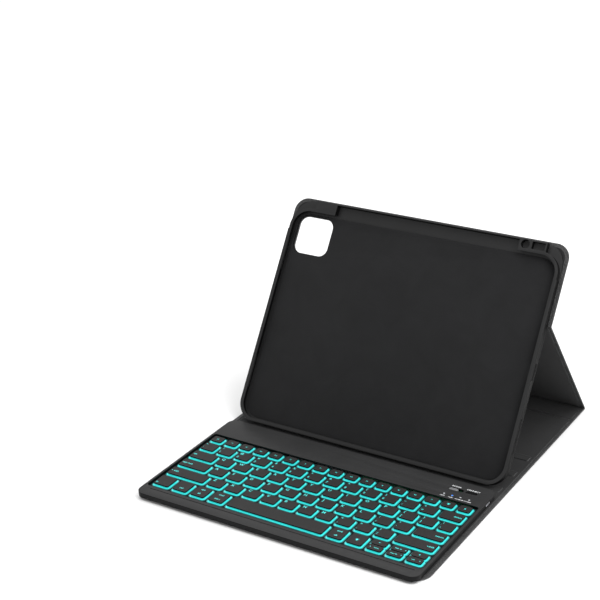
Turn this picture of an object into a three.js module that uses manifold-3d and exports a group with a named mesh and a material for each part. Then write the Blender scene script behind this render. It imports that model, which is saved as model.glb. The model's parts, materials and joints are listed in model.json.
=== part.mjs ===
// Tablet keyboard case, open in its typing position.
//
// A folio cover of stiff boards joined by leather folds lies on the table and folds up behind into a
// tent.  A soft tray for a 13 inch tablet is glued to its top panel, and a thin wireless keyboard with
// raised keys sits on the cover's front.  Millimetres, +X to the typist's right, +Y away from the typist,
// +Z up.  The case is drawn with y = 0 at the keyboard's front edge and moved to its own centre at the end.

import * as THREE from 'three';
import { mergeVertices } from 'three/addons/utils/BufferGeometryUtils.js';
import Module from 'manifold-3d';

const wasm = await Module();
wasm.setup();

// ---- Driving dimensions -------------------------------------------------------------------------------

const CLEARANCE = 0.3; // between pieces that touch

// Folio cover
const COVER_WIDTH = 293;
const BOARD = 2.2; // thickness of a covered board
const FLAP_FRONT = 3; // free edge of the magnetic flap
const FLAP_FOLD = 56; // flap to wrap band
const BAND_FOLD = 87; // wrap band to front cover
const SPINE_FOLD = 327; // front cover to spine
const REAR_FOLD = 358; // spine to tent strut
const FOLD_GAP = 1.4; // from a fold's axis to each board
const REAR_FOLD_GAP = 2.6; // the rear fold is bent much further
const FOLD_RADIUS = 1; // rolled leather on a fold's axis
const FLAP_CORNER = 18;
const PANEL_CORNER = 14;

// Magnet bars that hold the tray's lower edge, by their front edges
const BAR_FRONTS = [165.5, 197.8, 230.1];
const BAR = { length: 280, width: 9.5, thickness: 1.2, proud: 0.5 };
const FLAP_MAGNET = { length: 180, width: 10, thickness: 0.8, front: 12, depth: 1.2 };

// Tablet the tray is made for, lying face forward with its long side level
const TABLET = { width: 281.6, height: 215.5, thickness: 5.1, corner: 18 };
const TABLET_PLAY = 0.2; // round the tablet's edge
const GLASS_MARGIN = 9.15; // from the tablet's edge to its picture area

// Tray, in its own frame: y up the tray from the picture area's lower edge, z out of the glass
const TRAY_TILT = THREE.MathUtils.degToRad(57.07);
const TRAY_FOOT = { y: 172.5, z: 15.0 }; // where the tray's own y = 0, z = 0 line lies
const LINING = { inset: 3, bottom: -TABLET.thickness - 0.55, top: -TABLET.thickness - 0.1 };
const TRAY_FLOOR = LINING.bottom - 0.25;
const TRAY_BACK = TRAY_FLOOR - 1;
const TRAY_LIP = 0.8;
const TRAY_SIDE_WALL = 2;
const TRAY_FOOT_WALL = 1.8;
const TRAY_TOP_WALL = 10.6; // wide enough for the stylus groove
const TRAY_CORNER = 20;
const TRAY_EDGE_RADIUS = 3;
const LIP_OVERLAP = 1.3; // the lip over the tablet's glass
const MID_FOLD_UP_TRAY = 142; // the fold above which the cover is glued to the tray
const PANEL_TOP = 219.3; // upper edge of the glued panel, up the tray
const CAMERA = { x: -117, y: 182, size: 40, corner: 10 };
const GROOVE = { left: -95.5, right: 98.7, wall: 1.6 }; // for the stylus
const CORNER_SCOOPS = { left: -118.7, right: 126.0, floor: 0.6 }; // from there out to each side
const TOP_RECESS = { left: 111.6, right: 124.4, wall: 1.8, floor: 1.5 };
const RING_HOLE = { x: 105, radius: 4.3 };
const SPEAKERS = { spans: [[21, 54], [143, 176]], height: 2.6 };
const PORT_WINDOW = { span: [90, 106], floor: 0.6, top: -0.9 };

// Keyboard
const KEYBOARD = { width: 284, depth: 158, bottom: BOARD + CLEARANCE, top: 7.6, corner: 8 };
const SPLIT = 3.6; // height of the joint between the two halves of its housing
const SKIRT = 1.6;
const DECK = 1.2;
const PAN_FLOOR = 0.8;
const WELL = { left: -139.9, right: 139.6, front: 14.8, rear: 125.5, corner: 3 };
const PALM_GROOVE = { left: -133, right: 135, y: 10.8, width: 0.8, depth: 0.4 };
const KEY_FIELD_LEFT = -139.2;
const KEY_FIELD_WIDTH = 276.9;
const KEY_GAP = 4.9;
const CAP = { bottom: 6.4, top: 7.5, corner: 1.6 };
const LINK = { bottom: 6.5, top: 7.0, width: 4 }; // bar that joins the plain keys of one row
const KEY_PLATE = { bottom: 4.3, top: 5.1 };
const SPLIT_KEY_GAP = 1; // between an upper and a lower half key
const ARROW_FIELD = 56.5; // width of the three columns of half keys

// Rows from front to rear: front edge and pitch
const ROWS = {
  front: { y: 18.2, pitch: 21.2 },
  shift: { y: 39.4, pitch: 17.7 },
  home: { y: 57.1, pitch: 17.7 },
  upper: { y: 74.8, pitch: 17.7 },
  number: { y: 92.5, pitch: 17.7 },
  function: { y: 110.2, pitch: 14.4 },
};

// Controls on the keyboard's rear bar
const CONTROL_Y = 143.5;
const POWER_SLOT = { left: 101.0, right: 115.7, width: 4.6 };
const POWER_KNOB_LENGTH = 9;
const CONNECT_HOLE = { left: 117.5, right: 128.9, width: 4.6 };
const CONTROL_TOP = 7.3;
const INDICATORS = { xs: [101.7, 109.7, 117.7, 126.2], y: 132.5, radius: 0.9 };
const CHARGE_PORT = { y: 138, width: 8.6, height: 2.5, bottom: 3.65, depth: 7, wall: 0.35 };

// Pieces on the floor of the keyboard, as left, right, front, rear and height
const MEMBRANE = [-136, 136, 19, 124, 0.4];
const CIRCUIT_BOARD = [20, 130, 128, 154, 0.8];
const BATTERIES = [[-128, -62, 128, 154, 2.2], [-58, 8, 128, 154, 2.2]];
const HOLDING_MAGNETS = [[-110, -50, 4, 12, 2], [50, 110, 4, 12, 2]];

// ---- Materials ----------------------------------------------------------------------------------------

const material = (color, roughness, metalness = 0) =>
  new THREE.MeshStandardMaterial({ color, roughness, metalness });

const leather = material(0x2b2b2c, 0.62);
const leatherInside = material(0x1d1d1e, 0.85);
const magnetSkin = material(0x232324, 0.7);
const trayPlastic = material(0x37373a, 0.5);
const liningCloth = material(0x252527, 0.95);
const housing = material(0x56575a, 0.45);
const keyPlastic = material(0x48494b, 0.5);
const litPlate = material(0x25d9d2, 0.4);
const controlPlastic = material(0x6a6b6e, 0.35);
const lightPipe = material(0xdfe6ea, 0.3);
const steel = material(0xb9bcc0, 0.3, 1);
const batteryFoil = material(0xa9adb3, 0.35, 0.8);
const circuitGreen = material(0x1f4a33, 0.5);
const membraneFilm = material(0xc9ccc4, 0.4);

// ---- Geometry helpers ---------------------------------------------------------------------------------

const CORNER_STEPS = 7;
const TRAY_STEPS = 14; // in the large corners of the tray

// Rounded rectangle as a shape; radii run front left, front right, rear right, rear left.
function roundedRect(x0, y0, x1, y1, radii) {
  const [a, b, c, d] = Array.isArray(radii) ? radii : [radii, radii, radii, radii];
  const shape = new THREE.Shape();
  const corner = (x, y, r, start) => {
    if (r > 0) shape.absarc(x, y, r, start, start + Math.PI / 2, false);
    else shape.lineTo(x, y);
  };
  shape.moveTo(x0, y0 + a);
  corner(x0 + a, y0 + a, a, Math.PI);
  corner(x1 - b, y0 + b, b, Math.PI * 1.5);
  corner(x1 - c, y1 - c, c, 0);
  corner(x0 + d, y1 - d, d, Math.PI / 2);
  shape.closePath();
  return shape;
}

// A flat shape raised from z0 to z1.
function slab(shape, z0, z1, steps = CORNER_STEPS) {
  const geometry = new THREE.ExtrudeGeometry(shape, {
    depth: z1 - z0,
    bevelEnabled: false,
    curveSegments: steps,
  });
  return geometry.translate(0, 0, z0);
}

// A side profile, drawn in Y and Z, run from x0 to x1.
function bar(profile, x0, x1, steps = CORNER_STEPS) {
  const geometry = slab(profile, x0, x1, steps);
  const turn = new THREE.Matrix4().makeBasis(
    new THREE.Vector3(0, 1, 0),
    new THREE.Vector3(0, 0, 1),
    new THREE.Vector3(1, 0, 0),
  );
  return geometry.applyMatrix4(turn);
}

function box(x0, x1, y0, y1, z0, z1) {
  const geometry = new THREE.BoxGeometry(x1 - x0, y1 - y0, z1 - z0);
  return geometry.translate((x0 + x1) / 2, (y0 + y1) / 2, (z0 + z1) / 2);
}

function upright(x, y, radius, z0, z1, sides = 16) {
  const geometry = new THREE.CylinderGeometry(radius, radius, z1 - z0, sides);
  return geometry.rotateX(Math.PI / 2).translate(x, y, (z0 + z1) / 2);
}

function toSolid(geometry) {
  const bare = geometry.clone();
  bare.deleteAttribute('normal');
  bare.deleteAttribute('uv');
  const merged = mergeVertices(bare, 1e-5);
  return new wasm.Manifold(
    new wasm.Mesh({
      numProp: 3,
      vertProperties: new Float32Array(merged.attributes.position.array),
      triVerts: new Uint32Array(merged.index.array),
    }),
  );
}

function toGeometry(solid) {
  const { vertProperties, triVerts } = solid.getMesh();
  const geometry = new THREE.BufferGeometry();
  geometry.setAttribute('position', new THREE.BufferAttribute(vertProperties, 3));
  geometry.setIndex(new THREE.BufferAttribute(triVerts, 1));
  geometry.computeVertexNormals();
  return geometry;
}

const cut = (geometry, ...tools) =>
  toGeometry(tools.reduce((solid, tool) => solid.subtract(toSolid(tool)), toSolid(geometry)));

const join = (first, ...others) =>
  toGeometry(others.reduce((solid, other) => solid.add(toSolid(other)), toSolid(first)));

const common = (first, second) => toGeometry(toSolid(first).intersect(toSolid(second)));

function place(parent, name, geometry, finish) {
  const piece = new THREE.Mesh(geometry, finish);
  piece.name = name;
  parent.add(piece);
  return piece;
}

// ---- Folio cover --------------------------------------------------------------------------------------

const HALF = COVER_WIDTH / 2;

// A covered board from y0 to y1, centred on z = 0, with radii as in roundedRect.
const board = (y0, y1, radii = 0) =>
  slab(roundedRect(-HALF, y0, HALF, y1, radii), -BOARD / 2, BOARD / 2);

// Leather rolled along a fold's axis, which lies on z = 0.
const foldRoll = (y, radius = FOLD_RADIUS) =>
  new THREE.CylinderGeometry(radius, radius, COVER_WIDTH - 2, 12)
    .rotateZ(Math.PI / 2)
    .translate(0, y, 0);

function buildBase(parent) {
  const base = new THREE.Group();
  base.position.z = BOARD / 2;
  parent.add(base);

  const { front, width, length, depth, thickness } = FLAP_MAGNET;
  const magnetHalf = length / 2;
  const pocket = box(-magnetHalf, magnetHalf, front, front + width, BOARD / 2 - depth, BOARD);
  const flap = board(FLAP_FRONT, FLAP_FOLD - FOLD_GAP, [FLAP_CORNER, FLAP_CORNER, 0, 0]);
  place(base, 'flap_panel', cut(flap, pocket), leather);
  const magnetBottom = BOARD / 2 - depth + 0.2;
  const magnet = box(
    -magnetHalf + CLEARANCE,
    magnetHalf - CLEARANCE,
    front + CLEARANCE,
    front + width - CLEARANCE,
    magnetBottom,
    magnetBottom + thickness,
  );
  place(base, 'flap_magnet', magnet, steel);
  place(base, 'flap_fold_leather', foldRoll(FLAP_FOLD), leather);
  place(base, 'wrap_band', board(FLAP_FOLD + FOLD_GAP, BAND_FOLD - FOLD_GAP), leather);
  place(base, 'band_fold_leather', foldRoll(BAND_FOLD), leather);

  const barHalf = BAR.length / 2;
  const slotFloor = BOARD / 2 + BAR.proud - BAR.thickness - CLEARANCE;
  const slotHalf = barHalf + CLEARANCE;
  const slots = BAR_FRONTS.map((y) =>
    box(-slotHalf, slotHalf, y - CLEARANCE, y + BAR.width + CLEARANCE, slotFloor, BOARD));
  const frontCover = board(BAND_FOLD + FOLD_GAP, SPINE_FOLD - FOLD_GAP);
  place(base, 'front_cover_panel', cut(frontCover, ...slots), leather);
  const barTop = BOARD / 2 + BAR.proud;
  BAR_FRONTS.forEach((y, i) => {
    const profile = roundedRect(y, barTop - BAR.thickness, y + BAR.width, barTop, [0, 0, 0.4, 0.4]);
    place(base, `magnet_bar_${i + 1}`, bar(profile, -barHalf, barHalf, 2), magnetSkin);
  });
  place(base, 'spine_fold_leather', foldRoll(SPINE_FOLD), leather);
  place(base, 'spine_panel', board(SPINE_FOLD + FOLD_GAP, REAR_FOLD - REAR_FOLD_GAP), leather);
  place(base, 'rear_fold_leather', foldRoll(REAR_FOLD, BOARD / 2), leather);
}

// ---- Tent strut, glued panel and tray -----------------------------------------------------------------

const PANEL_MIDDLE = TRAY_BACK - CLEARANCE - BOARD / 2; // mid-plane of the glued panel in the tray's frame

// A point of the tray's frame, as [y, z] of the whole case.
function fromTray(y, z) {
  const c = Math.cos(TRAY_TILT);
  const s = Math.sin(TRAY_TILT);
  return [TRAY_FOOT.y + y * c - z * s, TRAY_FOOT.z + y * s + z * c];
}

function buildStrut(parent) {
  const [foldY, foldZ] = fromTray(MID_FOLD_UP_TRAY, PANEL_MIDDLE);
  const rise = foldZ - BOARD / 2;
  const run = foldY - REAR_FOLD;
  const length = Math.hypot(run, rise);
  const strut = new THREE.Group();
  strut.position.set(0, REAR_FOLD, BOARD / 2);
  strut.rotation.x = Math.atan2(rise, run);
  parent.add(strut);
  place(strut, 'strut_panel', board(REAR_FOLD_GAP, length - FOLD_GAP), leatherInside);
  place(strut, 'middle_fold_leather', foldRoll(length), leather);
}

const TRAY_SIDE = TABLET.width / 2 + TABLET_PLAY + TRAY_SIDE_WALL;
const TRAY_LOW = -GLASS_MARGIN - TABLET_PLAY - TRAY_FOOT_WALL;
const TABLET_HIGH = TABLET.height - GLASS_MARGIN;
const TRAY_HIGH = TABLET_HIGH + TABLET_PLAY + TRAY_TOP_WALL;

function trayOutline(inset, corner) {
  return roundedRect(-TRAY_SIDE + inset, TRAY_LOW + inset, TRAY_SIDE - inset, TRAY_HIGH - inset, corner);
}

function tabletOutline(margin) {
  const half = TABLET.width / 2 + margin;
  const foot = -GLASS_MARGIN - margin;
  return roundedRect(-half, foot, half, foot + TABLET.height + 2 * margin, TABLET.corner + margin);
}

function trayBody() {
  const r = TRAY_EDGE_RADIUS;
  const blank = slab(trayOutline(0, TRAY_CORNER), TRAY_BACK, TRAY_LIP, TRAY_STEPS);
  const edges = roundedRect(TRAY_LOW, TRAY_BACK, TRAY_HIGH, TRAY_LIP, [r, r, 0.8, 0.8]);
  return common(blank, bar(edges, -TRAY_SIDE - 1, TRAY_SIDE + 1, 4));
}

// Open scoops at the two upper corners: outside the tablet's own corner, down to the tray's back wall.
function cornerScoop(x0, x1) {
  const low = TABLET_HIGH - TABLET.corner - 4;
  const floor = TRAY_FLOOR + CORNER_SCOOPS.floor;
  const block = box(x0, x1, low, TRAY_HIGH + 1, floor, TRAY_LIP + 1);
  return cut(block, slab(tabletOutline(TRAY_SIDE_WALL - 0.4), TRAY_BACK, TRAY_LIP + 2, TRAY_STEPS));
}

function trayShell() {
  const open = TRAY_LIP + 1;
  const mid = (TRAY_FLOOR + TRAY_LIP) / 2;
  const recessFloor = TRAY_FLOOR + TOP_RECESS.floor;
  const ringY = (TABLET_HIGH + TABLET_PLAY + TRAY_HIGH) / 2;
  const tools = [
    slab(tabletOutline(TABLET_PLAY), TRAY_FLOOR, 0.1, TRAY_STEPS),
    slab(tabletOutline(-LIP_OVERLAP), TRAY_FLOOR, open, TRAY_STEPS),
    box(GROOVE.left, GROOVE.right, TABLET_HIGH - 3, TRAY_HIGH - GROOVE.wall, TRAY_FLOOR, open),
    cornerScoop(-TRAY_SIDE - 1, CORNER_SCOOPS.left),
    cornerScoop(CORNER_SCOOPS.right, TRAY_SIDE + 1),
    box(TOP_RECESS.left, TOP_RECESS.right, TABLET_HIGH + 2, TRAY_HIGH - TOP_RECESS.wall, recessFloor, open),
    upright(RING_HOLE.x, ringY, RING_HOLE.radius, recessFloor, open, 24),
    slab(cameraOutline(), TRAY_BACK - 1, open),
  ];
  const sideWindows = (low, high, bottom, top, sides) =>
    sides.forEach((side) => {
      const edges = [side * (TRAY_SIDE - 3), side * (TRAY_SIDE + 1)];
      tools.push(box(Math.min(...edges), Math.max(...edges), low, high, bottom, top));
    });
  for (const [low, high] of SPEAKERS.spans) {
    sideWindows(low, high, mid - SPEAKERS.height / 2, mid + SPEAKERS.height / 2, [-1, 1]);
  }
  const [portLow, portHigh] = PORT_WINDOW.span;
  sideWindows(portLow, portHigh, TRAY_FLOOR + PORT_WINDOW.floor, PORT_WINDOW.top, [1]);
  return cut(trayBody(), ...tools);
}

function cameraOutline() {
  const { x, y, size, corner } = CAMERA;
  const half = size / 2;
  return roundedRect(x - half, y - half, x + half, y + half, corner);
}

function buildTray(parent) {
  const tray = new THREE.Group();
  tray.position.set(0, TRAY_FOOT.y, TRAY_FOOT.z);
  tray.rotation.x = TRAY_TILT;
  parent.add(tray);

  const camera = slab(cameraOutline(), TRAY_BACK - 5, TRAY_LIP);
  place(tray, 'tray_shell', trayShell(), trayPlastic);
  const lining = slab(tabletOutline(-LINING.inset), LINING.bottom, LINING.top);
  place(tray, 'bay_lining', cut(lining, camera), liningCloth);
  const panel = board(MID_FOLD_UP_TRAY + FOLD_GAP, PANEL_TOP, [0, 0, PANEL_CORNER, PANEL_CORNER]);
  place(tray, 'upper_back_panel', cut(panel.translate(0, 0, PANEL_MIDDLE), camera), leather);
}

// ---- Keyboard housing ---------------------------------------------------------------------------------

function keyboardOutline(inset) {
  const half = KEYBOARD.width / 2 - inset;
  return roundedRect(-half, inset, half, KEYBOARD.depth - inset, KEYBOARD.corner - inset);
}

// A slot with round ends, along X.
function capsule(left, right, width, inset = 0) {
  const r = width / 2 - inset;
  const y = CONTROL_Y;
  return roundedRect(left + inset, y - r, right - inset, y + r, r);
}

function topHousing() {
  const under = KEYBOARD.top - DECK;
  const above = KEYBOARD.top + 1;
  const half = KEYBOARD.width / 2;
  const { y, width, height, bottom } = CHARGE_PORT;
  const portMargin = 0.3;
  const tools = [
    slab(keyboardOutline(SKIRT), SPLIT - 1, under),
    slab(roundedRect(WELL.left, WELL.front, WELL.right, WELL.rear, WELL.corner), SPLIT, above),
    box(
      PALM_GROOVE.left,
      PALM_GROOVE.right,
      PALM_GROOVE.y - PALM_GROOVE.width / 2,
      PALM_GROOVE.y + PALM_GROOVE.width / 2,
      KEYBOARD.top - PALM_GROOVE.depth,
      above,
    ),
    slab(capsule(POWER_SLOT.left, POWER_SLOT.right, POWER_SLOT.width), under - 1, above),
    slab(capsule(CONNECT_HOLE.left, CONNECT_HOLE.right, CONNECT_HOLE.width), under - 1, above),
    box(
      half - SKIRT - 1,
      half + 1,
      y - width / 2 - portMargin,
      y + width / 2 + portMargin,
      SPLIT - 1,
      bottom + height + portMargin,
    ),
    ...INDICATORS.xs.map((x) => upright(x, INDICATORS.y, INDICATORS.radius + 0.2, under - 1, above, 12)),
  ];
  return cut(slab(keyboardOutline(0), SPLIT, KEYBOARD.top), ...tools);
}

function bottomHousing() {
  const rimInset = SKIRT + CLEARANCE;
  const floorTop = KEYBOARD.bottom + PAN_FLOOR;
  const rimTop = SPLIT + 0.6;
  const pan = join(
    slab(keyboardOutline(0.2), KEYBOARD.bottom, floorTop),
    slab(keyboardOutline(rimInset), floorTop - 0.2, rimTop),
  );
  const { y, width } = CHARGE_PORT;
  const half = KEYBOARD.width / 2;
  return cut(
    pan,
    slab(keyboardOutline(rimInset + 1), floorTop, rimTop + 1),
    box(half - 6, half + 1, y - width / 2 - 1, y + width / 2 + 1, floorTop, rimTop + 1),
  );
}

function lightGuide() {
  const { xs, y, radius } = INDICATORS;
  const pipes = xs.map((x) => upright(x, y, radius, 5.4, KEYBOARD.top - 0.1, 12));
  return join(box(xs[0] - 2, xs[3] + 2, y - 1.5, y + 1.5, 5.0, 6.0), ...pipes);
}

function portShell() {
  const { y, width, height, bottom, depth, wall } = CHARGE_PORT;
  const outer = KEYBOARD.width / 2 - 0.4;
  const w = width / 2;
  const r = height / 2;
  const shell = bar(roundedRect(y - w, bottom, y + w, bottom + height, r), outer - depth, outer, 4);
  const mouth = bar(
    roundedRect(y - w + wall, bottom + wall, y + w - wall, bottom + height - wall, r - wall),
    outer - depth + 1,
    outer + 1,
    4,
  );
  return cut(shell, mouth);
}

function buildHousing(keyboard) {
  place(keyboard, 'keyboard_top_case', topHousing(), housing);
  place(keyboard, 'keyboard_bottom_case', bottomHousing(), housing);
  const plate = roundedRect(
    WELL.left + CLEARANCE,
    WELL.front + CLEARANCE,
    WELL.right - CLEARANCE,
    WELL.rear - CLEARANCE,
    WELL.corner - CLEARANCE,
  );
  place(keyboard, 'backlight_plate', slab(plate, KEY_PLATE.bottom, KEY_PLATE.top), litPlate);
  const onFloor = ([left, right, front, rear, height]) => {
    const floor = KEYBOARD.bottom + PAN_FLOOR + CLEARANCE;
    return box(left, right, front, rear, floor, floor + height);
  };
  place(keyboard, 'key_membrane', onFloor(MEMBRANE), membraneFilm);
  place(keyboard, 'circuit_board', onFloor(CIRCUIT_BOARD), circuitGreen);
  place(keyboard, 'battery_left', onFloor(BATTERIES[0]), batteryFoil);
  place(keyboard, 'battery_right', onFloor(BATTERIES[1]), batteryFoil);
  place(keyboard, 'holding_magnet_left', onFloor(HOLDING_MAGNETS[0]), steel);
  place(keyboard, 'holding_magnet_right', onFloor(HOLDING_MAGNETS[1]), steel);
  place(keyboard, 'charging_port', portShell(), steel);
  place(keyboard, 'indicator_light_guide', lightGuide(), lightPipe);

  const knobLeft = POWER_SLOT.left + CLEARANCE;
  const knob = capsule(knobLeft, knobLeft + POWER_KNOB_LENGTH, POWER_SLOT.width - 2 * CLEARANCE);
  place(keyboard, 'power_switch_knob', slab(knob, 5.2, CONTROL_TOP), controlPlastic);
  const button = capsule(CONNECT_HOLE.left, CONNECT_HOLE.right, CONNECT_HOLE.width, CLEARANCE);
  place(keyboard, 'connect_button', slab(button, 5.6, CONTROL_TOP), controlPlastic);
}

// ---- Keys ---------------------------------------------------------------------------------------------

// One key's cap in the cell from x0 to x1, and from y0 to y1.
function keyCap(x0, x1, y0, y1) {
  const g = KEY_GAP / 2;
  return slab(roundedRect(x0 + g, y0 + g, x1 - g, y1 - g, CAP.corner), CAP.bottom, CAP.top, 2);
}

// Plain keys side by side, joined by a hidden bar so that they make one piece.
function linkedCaps(x0, pitch, count, row) {
  const caps = Array.from({ length: count }, (_, i) =>
    keyCap(x0 + i * pitch, x0 + (i + 1) * pitch, row.y, row.y + row.pitch));
  const middle = row.y + row.pitch / 2;
  const half = LINK.width / 2;
  const end = x0 + (count - 0.5) * pitch;
  return join(box(x0 + pitch / 2, end, middle - half, middle + half, LINK.bottom, LINK.top), ...caps);
}

// A row: an optional wide key at each end and plain keys between them.
function letterRow(keyboard, row, { name, first, count, pitch, last }) {
  let x = KEY_FIELD_LEFT;
  const single = (key) => {
    place(keyboard, key.name, keyCap(x, x + key.width, row.y, row.y + row.pitch), keyPlastic);
    x += key.width;
  };
  if (first) single(first);
  place(keyboard, name, linkedCaps(x, pitch, count, row), keyPlastic);
  x += pitch * count;
  if (last) single(last);
}

function frontRow(keyboard) {
  const row = ROWS.front;
  let x = KEY_FIELD_LEFT;
  const singles = [
    ['key_fn', 20.9],
    ['key_control', 19.5],
    ['key_option', 19.5],
    ['key_command_left', 19.5],
    ['key_space', 102.5],
    ['key_command_right', 19],
    ['key_backlight', 19.5],
  ];
  for (const [name, width] of singles) {
    place(keyboard, name, keyCap(x, x + width, row.y, row.y + row.pitch), keyPlastic);
    x += width;
  }
  // Each of the last three columns is split into an upper and a lower half key.
  const split = row.y + row.pitch / 2;
  const reach = (KEY_GAP - SPLIT_KEY_GAP) / 2;
  const arrowPitch = ARROW_FIELD / 3;
  const columns = [
    ['key_volume_up', 'key_arrow_left'],
    ['key_arrow_up', 'key_arrow_down'],
    ['key_page', 'key_arrow_right'],
  ];
  for (const [upper, lower] of columns) {
    place(keyboard, upper, keyCap(x, x + arrowPitch, split - reach, row.y + row.pitch), keyPlastic);
    place(keyboard, lower, keyCap(x, x + arrowPitch, row.y, split + reach), keyPlastic);
    x += arrowPitch;
  }
}

function buildKeys(keyboard) {
  letterRow(keyboard, ROWS.function, { name: 'function_keys', count: 17, pitch: KEY_FIELD_WIDTH / 17 });
  letterRow(keyboard, ROWS.number, {
    name: 'number_keys',
    count: 13,
    pitch: 19.33,
    last: { name: 'key_delete', width: 25.6 },
  });
  letterRow(keyboard, ROWS.upper, {
    name: 'upper_letter_keys',
    first: { name: 'key_tab', width: 29.9 },
    count: 12,
    pitch: 19.1,
    last: { name: 'key_backslash', width: 17.8 },
  });
  letterRow(keyboard, ROWS.home, {
    name: 'home_letter_keys',
    first: { name: 'key_caps_lock', width: 34.4 },
    count: 11,
    pitch: 19.1,
    last: { name: 'key_return', width: 32.4 },
  });
  letterRow(keyboard, ROWS.shift, {
    name: 'lower_letter_keys',
    first: { name: 'key_shift_left', width: 44.4 },
    count: 10,
    pitch: 19.1,
    last: { name: 'key_shift_right', width: 41.5 },
  });
  frontRow(keyboard);
}

// ---- Assembly -----------------------------------------------------------------------------------------

const keyboardCase = new THREE.Group();
buildBase(keyboardCase);
buildStrut(keyboardCase);
buildTray(keyboardCase);
const keyboard = new THREE.Group();
keyboardCase.add(keyboard);
buildHousing(keyboard);
buildKeys(keyboard);

// The origin is the middle of the case's footprint, on the surface that it rests on.
keyboardCase.updateMatrixWorld(true);
const bounds = new THREE.Box3().setFromObject(keyboardCase, true);
const centre = bounds.getCenter(new THREE.Vector3());
keyboardCase.position.set(-centre.x, -centre.y, -bounds.min.z);

export default keyboardCase;
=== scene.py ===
"""Looks of the open tablet keyboard case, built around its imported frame.

Shapes are worked out in millimetres, in flat local frames: the base of the cover and the keyboard lie in
one, the strut and the tray lean in two others.  A local frame has y along the cover and z through it, with
z = 0 at the middle of a board, and the keyboard is drawn in the row's own frame.
"""

import json
import math

import bmesh
import bpy
from mathutils import Matrix, Quaternion, Vector


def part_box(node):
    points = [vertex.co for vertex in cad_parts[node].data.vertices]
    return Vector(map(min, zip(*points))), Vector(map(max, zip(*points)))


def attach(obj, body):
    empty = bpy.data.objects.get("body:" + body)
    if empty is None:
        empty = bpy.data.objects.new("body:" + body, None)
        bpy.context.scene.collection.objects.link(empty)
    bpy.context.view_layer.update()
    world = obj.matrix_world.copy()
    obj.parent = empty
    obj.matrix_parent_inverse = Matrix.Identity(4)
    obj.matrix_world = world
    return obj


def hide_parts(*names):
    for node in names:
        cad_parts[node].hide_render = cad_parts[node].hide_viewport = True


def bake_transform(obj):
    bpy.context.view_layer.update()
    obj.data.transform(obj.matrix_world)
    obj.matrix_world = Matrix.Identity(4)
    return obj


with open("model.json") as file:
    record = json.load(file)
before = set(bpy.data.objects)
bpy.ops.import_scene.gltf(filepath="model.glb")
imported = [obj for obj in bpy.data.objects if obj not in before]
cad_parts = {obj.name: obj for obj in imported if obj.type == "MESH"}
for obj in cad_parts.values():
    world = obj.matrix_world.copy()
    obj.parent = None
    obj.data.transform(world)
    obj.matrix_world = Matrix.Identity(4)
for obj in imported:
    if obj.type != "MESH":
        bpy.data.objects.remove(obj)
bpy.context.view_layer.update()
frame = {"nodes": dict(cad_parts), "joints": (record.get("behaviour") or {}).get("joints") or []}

MM = 0.001
JOINTS = {joint["name"]: joint for joint in frame["joints"]}


# ---- Sizes read from the frame, in millimetres ---------------------------------------------------------

def box_mm(node):
    low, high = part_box(node)
    return low / MM, high / MM


def joint_point(name):
    return Vector(JOINTS[name]["pos_m"]) / MM


BOARD = 2.2
HALF_WIDTH = box_mm("front_cover_panel")[1].x
DECK_TOP = box_mm("keyboard_top_case")[1].z

REAR_FOLD = joint_point("rear_fold")
MIDDLE_FOLD = joint_point("middle_fold")
STRUT_ANGLE = math.atan2(MIDDLE_FOLD.z - REAR_FOLD.z, MIDDLE_FOLD.y - REAR_FOLD.y)
STRUT_LENGTH = math.hypot(MIDDLE_FOLD.z - REAR_FOLD.z, MIDDLE_FOLD.y - REAR_FOLD.y)
TRAY_ANGLE = math.radians(57.07)


def leaning(origin, angle):
    """A local frame whose x is level and whose y climbs at angle, with its origin on a fold."""
    return Matrix.Translation(origin) @ Matrix.Rotation(angle, 4, "X")


BASE_FRAME = Matrix.Translation((0, 0, BOARD / 2))
STRUT_FRAME = leaning(REAR_FOLD, STRUT_ANGLE)
TRAY_FRAME = leaning(MIDDLE_FOLD, TRAY_ANGLE)
ROW_FRAME = Matrix.Identity(4)

# From a fold's axis to the board on each side of it; the rear fold is bent much further.
FOLD_GAP = 1.4
REAR_FOLD_GAP = 2.6

FLAP_CORNER = 18
PANEL_CORNER = 14
PANEL_LENGTH = 77.3
CAMERA_CUTOUT = {"x": -117, "y": 40, "half": 20, "corner": 10}  # in the tray's leaning frame
LINK_LAMP_X = 109.7


# ---- Procedural materials ------------------------------------------------------------------------------

def new_material(name, color, roughness, **sockets):
    """A Principled material with constant values; returns it, its node tree and the shader."""
    material = bpy.data.materials.new(name)
    material.use_nodes = True
    shader = material.node_tree.nodes["Principled BSDF"]
    shader.inputs["Base Color"].default_value = (*color, 1)
    shader.inputs["Roughness"].default_value = roughness
    for socket, value in sockets.items():
        shader.inputs[socket.replace("_", " ")].default_value = value
    return material, material.node_tree, shader


def add_node(tree, kind, **settings):
    node = tree.nodes.new(kind)
    for name, value in settings.items():
        setattr(node, name, value)
    return node


def surface_point(tree):
    return add_node(tree, "ShaderNodeTexCoord").outputs["Object"]


def noise(tree, scale, detail=4.0, roughness=0.5, distortion=0.0, vector=None):
    node = add_node(tree, "ShaderNodeTexNoise")
    node.inputs["Scale"].default_value = scale
    node.inputs["Detail"].default_value = detail
    node.inputs["Roughness"].default_value = roughness
    node.inputs["Distortion"].default_value = distortion
    tree.links.new(vector or surface_point(tree), node.inputs["Vector"])
    return node.outputs["Fac"]


def remap(tree, value, from_low, from_high, to_low, to_high):
    node = add_node(tree, "ShaderNodeMapRange")
    limits = {"From Min": from_low, "From Max": from_high, "To Min": to_low, "To Max": to_high}
    for socket, number in limits.items():
        node.inputs[socket].default_value = number
    tree.links.new(value, node.inputs["Value"])
    return node.outputs["Result"]


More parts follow.
